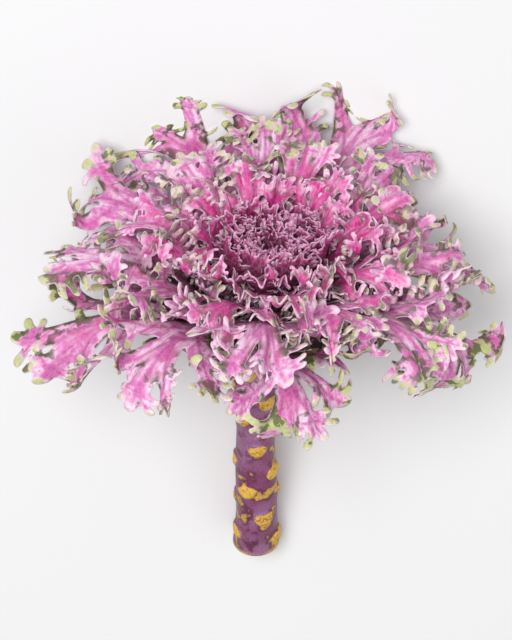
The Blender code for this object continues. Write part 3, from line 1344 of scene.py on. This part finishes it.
@dataclass(frozen=True)
class LeafTop:
    """The upper face of a leaf: pink blade with pale ribs, and cream to green tips."""

    name: str = "leaf_top"
    blade: Colour = tone(213, 114, 178)
    pale: Colour = tone(252, 212, 240)
    rib: Colour = tone(196, 74, 156)
    deep: Colour = tone(204, 40, 132)
    # Painted shade, laid over the foot of each leaf
    shade: Colour = tone(86, 34, 52)
    young: Colour = tone(206, 32, 134)
    bright: Colour = tone(224, 36, 148)
    heart: Colour = tone(190, 52, 134)
    cream: Colour = tone(251, 238, 240)
    green: Colour = tone(192, 200, 128)
    # Dark green of the spots near the fingers' ends, and painted shade in the notches between them
    moss_and_painted_shade: Colour = tone(70, 78, 42)
    stalk: Colour = tone(110, 118, 66)
    streak_scale: float = 16.0
    mottle_scale: float = 190.0
    blotch_scale: float = 62.0
    fine_scale: float = 700.0
    net_scale: float = 330.0
    relief: float = 0.6 * MM

    def build(self) -> bpy.types.Material:
        """Makes the material.

        Returns:
            The material.
        """
        board = Board(self.name)
        inside, vein, tip = board.read("blade")
        turn, along, lot = board.read("fan")
        age, shade, _ = board.read("made")
        across = turn * self.streak_scale
        streaks = board.noise(board.point(across, along * 3.0, lot), 2.2, 3.0)
        mottle = board.noise(board.place(), self.mottle_scale, 3.0)
        blotch = board.noise(board.place(), self.blotch_scale, 2.0)
        fine = board.noise(board.place(), self.fine_scale, 2.0)
        in_heart = age.step(0.98, 1.02)
        # The blade, streaked along its veins, with deep pink clouds
        colour = board.blend(self.blade, self.pale, (streaks * 0.5 + mottle * 0.5).step(0.4, 0.6))
        deep = (blotch * 0.6 + mottle * 0.4).step(0.49, 0.63) * (0.4 + shade * 0.4)
        colour = board.blend(colour, self.deep, deep)
        # Magenta in the middle of young leaves and all over the heart
        middle = (tip + (mottle - 0.5) * 7.0).step(0.5, 8.5 - age * 4.5)
        spread = 1.3 - streaks * 0.9 + (blotch - 0.5) * 1.6
        colour = board.blend(colour, self.young, age.step(0.25, 0.85) * middle * spread)
        colour = board.blend(colour, self.heart, in_heart * 0.6)
        # The veins, and painted shade on the foot that the young leaves stand round, reaching
        # farther up young leaves and the heart
        ridge = vein.bell(0.6)
        rib = board.blend(self.rib, self.bright, age.step(0.35, 0.75))
        colour = board.blend(colour, rib, ridge * (0.8 - age * 0.3))
        inner = age * 0.1 + in_heart * 0.3
        # Painted shade: 1 at the leaf's foot, fading out further up
        base = 1.0 - (along - inner + (mottle - 0.5) * 0.3).step(0.28, 0.78)
        colour = board.blend(colour, self.shade, base * (0.9 - ridge * 0.25))
        net = board.net(board.place(), self.net_scale)
        colour = board.blend(colour, self.pale, net * 0.12)
        stalk = (1.0 - along.step(0.12, 0.3)) * (0.9 - age * 0.4)
        colour = board.blend(colour, self.stalk, stalk)
        # The cream and green ends of the fingers
        outer = 1.0 - in_heart * 0.75
        light = (tip * -1.0 + 4.6 - age * 2.4 + (blotch - 0.5) * 9.0).step(0.0, 3.0)
        colour = board.blend(colour, self.cream, light * (0.9 - age * 0.45) * outer)
        green = (tip * -1.0 + 4.4 - age * 4.8 + (blotch - 0.5) * 16.0).step(0.0, 2.4)
        colour = board.blend(colour, self.green, green * (0.95 - age * 0.6) * outer)
        # Painted shade: dark green in the notches between fingers, for the dark gaps there; and
        # dark green in a few spots near them
        edge = 1.0 - (inside + age * 0.8).step(0.5, 2.6)
        notch_painted_shade = edge * (tip + age * 1.5).step(2.2, 4.0)
        near = (tip * -1.0 + 18.0 - age * 9.0).step(0.0, 6.0)
        dark = (mottle * 0.55 + blotch * 0.45).step(0.47, 0.53) * notch_painted_shade * near
        colour = board.blend(colour, self.moss_and_painted_shade, dark * (0.95 - age * 0.35) * outer)
        near = (tip * -1.0 + 12.0 - age * 7.0).step(0.0, 4.0)
        spots = (mottle * 0.6 + blotch * 0.4).step(0.53, 0.57) * near
        colour = board.blend(colour, self.moss_and_painted_shade, spots * (0.8 - age * 0.4) * outer)
        margin = 1.0 - inside.step(0.05, 0.45)
        colour = board.blend(colour, self.pale, margin * 0.5)
        height = ridge * 0.7 + mottle * 0.6 + fine * 0.15 - net * 0.3
        return board.finish(
            Base_Color=colour,
            Roughness=0.5 - ridge * 0.06 + fine * 0.1,
            Normal=board.bump(height, 0.55, self.relief),
        )


@dataclass(frozen=True)
class LeafUnder:
    """The underside of a leaf: dusky purple and grey green, with a pale rib; its purple and green
    are darkened past its own colour as painted shade for the gaps.
    """

    name: str = "leaf_under"
    # Painted shade: the purple and the green are darker than the underside's own colour
    blade: Colour = tone(92, 50, 60)
    green: Colour = tone(80, 92, 46)
    light: Colour = tone(176, 186, 130)
    rib: Colour = tone(180, 130, 150)
    young: Colour = tone(98, 34, 64)
    stalk: Colour = tone(112, 128, 58)
    streak_scale: float = 16.0
    mottle_scale: float = 190.0
    blotch_scale: float = 60.0
    net_scale: float = 330.0
    relief: float = 0.6 * MM

    def build(self) -> bpy.types.Material:
        """Makes the material.

        Returns:
            The material.
        """
        board = Board(self.name)
        inside, vein, tip = board.read("blade")
        turn, along, lot = board.read("fan")
        age, _, _ = board.read("made")
        mottle = board.noise(board.place(), self.mottle_scale, 3.0)
        blotch = board.noise(board.place(), self.blotch_scale, 2.0)
        across = turn * self.streak_scale
        streaks = board.noise(board.point(across, along * 3.0, lot), 2.2, 3.0)
        colour = board.blend(self.blade, self.young, age.step(0.3, 1.0))
        outer = (tip * -1.0 + 17.0 - age * 15.0 + (blotch - 0.5) * 18.0).step(0.0, 8.0)
        colour = board.blend(colour, self.green, outer * (1.0 - age * 0.6))
        lit = (tip * -1.0 + 2.5 - age * 2.0 + (mottle - 0.5) * 8.0).step(0.0, 3.0)
        streaky = (streaks - 0.5) * (0.5 - age * 0.3)
        colour = board.blend(colour, self.light, lit * (0.7 - age * 0.4) + streaky)
        net = board.net(board.place(), self.net_scale)
        colour = board.blend(colour, self.light, net * 0.16)
        ridge = vein.bell(0.8)
        colour = board.blend(colour, self.rib, ridge * 0.5)
        stalk = (1.0 - along.step(0.14, 0.34)) * (0.9 - age * 0.4)
        colour = board.blend(colour, self.stalk, stalk)
        margin = 1.0 - inside.step(0.05, 0.45)
        colour = board.blend(colour, self.light, margin * (0.45 - age * 0.2))
        height = ridge + mottle * 0.5 + net * 0.4
        return board.finish(
            Base_Color=colour,
            Roughness=0.55,
            Normal=board.bump(height, 0.5, self.relief),
        )


@dataclass(frozen=True)
class StemSkin:
    """The skin of the stem: waxy purple, with ochre scars, and the pale pith of its cut end."""

    name: str = "stem_skin_fine"
    purple: Colour = tone(122, 54, 92)
    dark: Colour = tone(84, 28, 60)
    red: Colour = tone(156, 42, 92)
    bloom: Colour = tone(176, 138, 176)
    scar: Colour = tone(224, 180, 78)
    scar_dark: Colour = tone(168, 110, 50)
    pith: Colour = tone(216, 202, 158)
    ring: Colour = tone(150, 132, 84)
    blotch_scale: float = 120.0
    broad_scale: float = 45.0
    fine_scale: float = 700.0
    relief: float = 0.5 * MM

    def build(self) -> bpy.types.Material:
        """Makes the material.

        Returns:
            The material.
        """
        board = Board(self.name)
        scar, cut, share = board.read("skin")
        turn, height, _ = board.read("side")
        place = board.place()
        blotch = board.noise(place, self.blotch_scale, 3.0)
        broad = board.noise(place, self.broad_scale, 2.0)
        fine = board.noise(place, self.fine_scale, 2.0)
        lines = board.noise(board.point(turn * 3.0, height * 12.0, 0.0), 4.0, 3.0)
        # The purple skin, with its wax and its old marks
        red = (lines * 0.5 + blotch * 0.5).step(0.52, 0.6) * 0.5
        colour = board.blend(self.purple, self.red, red)
        waxy = (lines * 0.6 + (1.0 - broad) * 0.4).step(0.46, 0.62)
        colour = board.blend(colour, self.bloom, waxy * 0.55)
        dark = (blotch * 0.7 + broad * 0.3).step(0.47, 0.57) * 0.9
        colour = board.blend(colour, self.dark, dark)
        old = (broad * 0.4 + blotch * 0.6).step(0.54, 0.6)
        colour = board.blend(colour, self.scar, old * 0.7)
        # The dried rim of the cut, and the scars
        rim = (1.0 - height.step(0.1, 0.32)) * (blotch * 0.6 + lines * 0.4).step(0.46, 0.54)
        colour = board.blend(colour, self.scar, rim * 0.8)
        mask = (scar + (blotch - 0.5) * 1.5 + (broad - 0.5) * 0.6).step(0.14, 0.34)
        ochre = board.blend(self.scar, self.scar_dark, (fine + blotch - 1.0).step(0.02, 0.3))
        colour = board.blend(colour, ochre, mask)
        # The cut end
        pith = board.blend(self.pith, self.ring, share.step(0.62, 0.8))
        pith = board.blend(pith, self.dark, share.step(0.9, 1.0))
        pith = board.blend(pith, self.ring, fine.step(0.5, 0.7) * 0.5)
        colour = board.blend(colour, pith, cut)
        height = lines * 0.4 + fine * 0.2 + mask * fine * 0.8
        return board.finish(
            Base_Color=colour,
            Roughness=0.42 + mask * 0.25 + cut * 0.2,
            Normal=board.bump(height, 0.45, self.relief),
        )


@dataclass(frozen=True)
class FloorPaint:
    """The pale, plain floor."""

    name: str = "floor_paint"
    colour: Colour = tone(233, 233, 234)

    def build(self) -> bpy.types.Material:
        """Makes the material.

        Returns:
            The material.
        """
        board = Board(self.name)
        return board.finish(Base_Color=self.colour, Roughness=0.9)


@dataclass
class Rosette:
    """The leaves of the rosette, one piece for each."""

    finger: tuple[float, float] = (1.7 * MM, 0.8 * MM)
    fan: tuple[float, float] = (11.5 * MM, 5.2 * MM)
    fullness: tuple[float, float] = (0.0, 0.25)
    step: tuple[float, float] = (1.06 * MM, 0.6 * MM)
    size_pace: float = 0.8
    full_pace: float = 0.7
    wave_height: tuple[float, float] = (0.018, 0.05)
    wave_count: tuple[float, float] = (19.0, 24.0)
    curl: tuple[float, float] = (0.65, 0.7)
    hinge: tuple[float, float] = (0.45, 0.5)
    bias: tuple[float, float] = (-0.3, -0.1)
    rolls: tuple[float, float] = (0.26, 0.16)
    inner: tuple[float, float] = (0.35, 0.5)
    roll: tuple[float, float] = (0.55, 1.0)
    seed: int = 41

    def frill(self, growth: Growth) -> Frill:
        """Chooses how a leaf's margin waves and curls.

        Args:
            growth: The leaf's growth.

        Returns:
            Its frill.
        """
        kept = calm(growth.azimuth, growth.age)
        return Frill(
            height=mix(*self.wave_height, growth.age) * growth.length,
            count=mix(*self.wave_count, growth.age),
            curl=mix(*self.curl, growth.age) * kept,
            hinge=mix(*self.hinge, growth.age),
            bias=mix(*self.bias, growth.age),
            rolls=mix(*self.rolls, growth.age),
            inner=mix(*self.inner, growth.age),
            roll=mix(*self.roll, growth.age) * kept,
        )

    def build(self, top: bpy.types.Material, under: bpy.types.Material) -> None:
        """Models every leaf, dresses it and puts it in the place of its solid.

        Args:
            top: The finish of the upper faces.
            under: The finish of the undersides.
        """
        for number in range(LEAF_COUNT):
            growth = leaf_growth(number)
            blade = LeafBlade(
                name=f"feathery_leaf_{number + 1:02d}",
                growth=growth,
                finger=mix(*self.finger, growth.age**self.size_pace),
                fan=mix(*self.fan, growth.age**self.size_pace),
                fullness=mix(*self.fullness, growth.age**self.full_pace),
                step=mix(*self.step, growth.age**self.size_pace),
                frill=self.frill(growth),
                seed=self.seed + number,
            )
            leaf = blade.build()
            leaf.data.materials.append(top)
            leaf.data.materials.append(under)
            report(leaf, f"leaf_{number + 1:02d}")


@dataclass
class Heart:
    """The heart: small curled blades that fill a bowl, joined as one piece."""

    count: int = 34
    foot: tuple[float, float] = (1.0 * MM, 12.0 * MM)
    start: tuple[float, float] = (8.0 * MM, 1.0 * MM)
    length: tuple[float, float] = (43.0 * MM, 19.0 * MM)
    rise: tuple[float, float] = (math.radians(28.0), math.radians(62.0))
    droop: tuple[float, float] = (math.radians(112.0), math.radians(104.0))
    reach: tuple[float, float] = (1.25, 1.1)
    stalk: tuple[float, float] = (2.2, 1.6)
    start_pace: float = 0.8
    ages: float = 0.3
    bend: float = 1.2
    ruffle: float = 0.03
    phase_step: float = 2.3
    turn_up: float = 1.5 * MM
    finger: tuple[float, float] = (0.7 * MM, 0.55 * MM)
    step: tuple[float, float] = (0.72 * MM, 0.56 * MM)
    wave_height: tuple[float, float] = (0.06, 0.1)
    wave_count: tuple[float, float] = (17.0, 13.0)
    inner: tuple[float, float] = (0.6, 0.45)
    seed: int = 311

    def growth(self, number: int) -> Growth:
        """The growth of one blade.

        Args:
            number: Its number, from the outside in.

        Returns:
            Its growth, with an age above those of the rosette.
        """
        age = number / (self.count - 1)
        return Growth(
            age=1.0 + self.ages * age,
            azimuth=FIRST_AZIMUTH + GOLDEN_ANGLE * (LEAF_COUNT + number),
            foot=CROWN_HEIGHT + mix(*self.foot, age),
            start=mix(*self.start, age**self.start_pace),
            length=mix(*self.length, age),
            rise=mix(*self.rise, age),
            droop=mix(*self.droop, age),
            reach=mix(*self.reach, age),
            stalk=mix(*self.stalk, age) * MM,
            bend=self.bend,
            ruffle=self.ruffle,
            phase=self.phase_step * number,
            turn_up=self.turn_up,
        )

    def build(self, top: bpy.types.Material, under: bpy.types.Material) -> None:
        """Models the blades, joins them and puts them in the place of the solid.

        Args:
            top: The finish of the upper faces.
            under: The finish of the undersides.
        """
        blades = []
        for number in range(self.count):
            age = number / (self.count - 1)
            growth = self.growth(number)
            frill = Frill(
                height=mix(*self.wave_height, age) * growth.length,
                count=mix(*self.wave_count, age),
                curl=0.7,
                hinge=0.6,
                bias=-0.4,
                rolls=0.0,
                inner=mix(*self.inner, age),
                roll=0.7,
                thin=0.6,
            )
            blade = LeafBlade(
                name=f"curl_{number}",
                growth=growth,
                finger=mix(*self.finger, age),
                fan=0.0,
                fullness=0.0,
                step=mix(*self.step, age),
                frill=frill,
                seed=self.seed + number,
                kind=FringedBlade,
            )
            made = blade.build()
            made.data.materials.append(top)
            made.data.materials.append(under)
            blades.append(made)
        deselect()
        for made in blades:
            made.select_set(True)
        bpy.context.view_layer.objects.active = blades[0]
        bpy.ops.object.join()
        heart = bpy.context.object
        heart.name = "curled_heart"
        report(heart, "heart")


@dataclass
class Stem:
    """The stem: its skin with the raised scars, and its cut end."""

    columns: int = 144
    ring: float = 0.9 * MM
    chamfer: float = 0.9 * MM
    rough: float = 0.25 * MM
    dip: tuple[float, float] = (0.42, 0.6)
    wander: float = 0.35 * MM
    wander_start: float = 6.0 * MM
    flare: float = 0.7 * MM
    flare_height: float = 14.0 * MM
    waist: float = 0.9 * MM
    above: float = 8.0 * MM
    dome: float = 2.0 * MM
    merge: float = 0.01 * MM

    def profile(self) -> Array:
        """Draws the stem's outline.

        Returns:
            Its radius and height, from the middle of the cut end to the top.
        """
        end = [(share * (STEM_RADIUS - self.chamfer), 0.0) for share in np.linspace(0.0, 1.0, 14)]
        heights = np.arange(self.chamfer, CROWN_HEIGHT + self.above, self.ring)
        side = [(float(stem_radius(height)), float(height)) for height in heights]
        wide, high = side[-1]
        top = [(wide * share, high + self.dome * (1.0 - share)) for share in (0.7, 0.4, 0.0)]
        return np.array(end + side + top)

    def scars(self, turn: Array, height: Array) -> Array:
        """Places the scars.

        Args:
            turn: Angles round the stem.
            height: Heights along it.

        Returns:
            How much of a scar is at each point, up to 1 in its middle.
        """
        most = np.zeros_like(turn)
        for number in range(SCAR_COUNT):
            middle = BARE_STEM - SCAR_INSET - SCAR_STEP * number
            across = FIRST_AZIMUTH - GOLDEN_ANGLE * (number + 1) - turn
            across = np.mod(across + math.pi, 2.0 * math.pi) - math.pi
            across = across * STEM_RADIUS
            drop = (middle - height) / np.where(height < middle, SCAR_DROP, SCAR_TOP)
            most = np.maximum(most, 1.0 - np.hypot(across / SCAR_HALF_WIDTH, drop))
        return most

    def outline(self, radius: Array, turn: Array, height: Array, scar: Array, side: Array) -> Array:
        """Swells the plain stem with its scars and its slight unevenness.

        Args:
            radius: The plain stem's radius at points of its skin.
            turn: Their angles round the stem.
            height: Their heights along it.
            scar: How much of a scar is at each.
            side: 1 for a point of the side and 0 for one of the cut end.

        Returns:
            The radius at each.
        """
        swell = SCAR_RISE * np.minimum(1.0, SCAR_SLOPE * np.clip(scar, 0.0, 1.0))
        swell = swell - SCAR_DIP * ease(*self.dip, scar)
        waves = np.sin(3.0 * turn + height * 60.0) + np.sin(2.0 * turn - height * 95.0)
        wander = self.wander * waves * side * ease(0.0, self.wander_start, height)
        waist = ease(0.0, 1.0, np.sin(height / BARE_STEM * math.pi))
        flare = self.flare * np.exp(-height / self.flare_height) - self.waist * waist
        return radius + swell + wander + flare * side

    def build(self, skin: bpy.types.Material) -> None:
        """Models the stem and puts it in the place of its solid.

        Args:
            skin: Its finish.
        """
        profile = self.profile()
        rows = len(profile) - 1
        stem = add_grid("scarred_stem", self.columns, rows)
        turn = np.linspace(0.0, 2.0 * math.pi, self.columns + 1)
        turn = np.tile(turn, rows + 1)
        radius = np.repeat(profile[:, 0], self.columns + 1)
        height = np.repeat(profile[:, 1], self.columns + 1)
        cut = (height < 0.5 * self.chamfer).astype(float)
        scar = self.scars(turn, height) * (1.0 - cut)
        full = self.outline(radius, turn, height, scar, 1.0 - cut)
        sawn = np.sin(6.0 * turn) * np.sin(radius / STEM_RADIUS * 9.0)
        end = cut * self.rough * sawn
        upright = np.column_stack([full * np.cos(turn), full * np.sin(turn), height + np.abs(end)])
        laid = lay_down(upright)
        laid[:, 2] = np.maximum(laid[:, 2], 0.0)
        stem.data.vertices.foreach_set("co", laid.astype(np.float32).ravel())
        share = radius / (STEM_RADIUS - self.chamfer)
        write_attribute(stem.data, "skin", np.column_stack([scar, cut, np.clip(share, 0.0, 1.0)]))
        write_attribute(stem.data, "side", np.column_stack([turn, height / STEM_RADIUS, scar]))
        bpy.ops.object.mode_set(mode="EDIT")
        bpy.ops.mesh.select_all(action="SELECT")
        bpy.ops.mesh.remove_doubles(threshold=self.merge)
        bpy.ops.mesh.normals_make_consistent(inside=False)
        bpy.ops.object.mode_set(mode="OBJECT")
        bpy.ops.object.shade_smooth()
        stem.data.materials.append(skin)
        report(stem, "stem")


@dataclass(frozen=True)
class Lamp:
    """A square lamp: its name, its place, the length of its side and its power in watts."""

    name: str
    place: tuple[float, float, float]
    size: float
    power: float


@dataclass
class Studio:
    """The floor, the soft lights and the camera."""

    camera_rise: float = math.radians(38.0)
    target: Vector = Vector((0.0, 0.0, 0.153))
    distance: float = 0.935
    lens: float = 106.0
    floor_size: float = 12.0
    key: Lamp = Lamp("key", (-0.42, 0.5, 1.9), 1.1, 33.0)
    fill: Lamp = Lamp("fill", (0.9, -0.4, 1.1), 1.2, 3.0)
    lit: Vector = Vector((0.0, 0.0, 0.08))
    room_light: float = 0.35

    def build_floor(self) -> None:
        """Adds the floor."""
        deselect()
        bpy.ops.mesh.primitive_plane_add(size=self.floor_size, location=(0.0, 0.0, 0.0))
        floor = bpy.context.object
        floor.name = "floor"
        floor.data.materials.append(FloorPaint().build())

    def add_light(self, lamp: Lamp) -> None:
        """Adds one lamp that looks at the plant.

        Args:
            lamp: The lamp.
        """
        light = bpy.data.lights.new(lamp.name, "AREA")
        light.shape = "SQUARE"
        light.size = lamp.size
        light.energy = lamp.power
        holder = bpy.data.objects.new(lamp.name, light)
        place = Vector(lamp.place)
        holder.location = place
        holder.rotation_mode = "QUATERNION"
        holder.rotation_quaternion = (self.lit - place).to_track_quat("-Z", "Y")
        bpy.context.scene.collection.objects.link(holder)

    def build_lights(self) -> None:
        """Adds the lamps and the even light of the room."""
        self.add_light(self.key)
        self.add_light(self.fill)
        world = bpy.data.worlds.new("room")
        world.use_nodes = True
        sky = world.node_tree.nodes["Background"]
        sky.inputs["Color"].default_value = (1.0, 1.0, 1.0, 1.0)
        sky.inputs["Strength"].default_value = self.room_light
        bpy.context.scene.world = world
        bpy.context.scene.view_settings.view_transform = "Standard"

    def build_camera(self) -> None:
        """Adds the camera at the photograph's angle to the plant."""
        lay = Matrix.Rotation(TILT - math.pi / 2, 3, "X")
        rise = self.camera_rise
        back = lay @ Vector((0.0, -math.cos(rise), math.sin(rise)))
        up = lay @ Vector((0.0, math.sin(rise), math.cos(rise)))
        right = up.cross(back)
        lens = bpy.data.cameras.new("camera")
        lens.lens = self.lens
        camera = bpy.data.objects.new("camera", lens)
        pose = Matrix((right, up, back)).transposed().to_4x4()
        pose.translation = CUT_END + lay @ self.target + back * self.distance
        camera.matrix_world = pose
        bpy.context.scene.collection.objects.link(camera)
        bpy.context.scene.camera = camera


def report(piece: bpy.types.Object, node: str) -> None:
    """Hands a finished piece to the frame in the place of a solid, and logs it.

    Args:
        piece: The finished object.
        node: The solid's node.
    """
    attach(piece, "root")
    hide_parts(node)
    LOG.info("%s: %d faces", piece.name, len(piece.data.polygons))


def main() -> None:
    """Builds the studio and the plant in order."""
    logging.basicConfig(level=logging.INFO)
    studio = Studio()
    studio.build_camera()
    studio.build_floor()
    studio.build_lights()
    top = LeafTop().build()
    under = LeafUnder().build()
    Stem().build(StemSkin().build())
    Rosette().build(top, under)
    Heart().build(top, under)


if __name__ == "__main__":
    main()
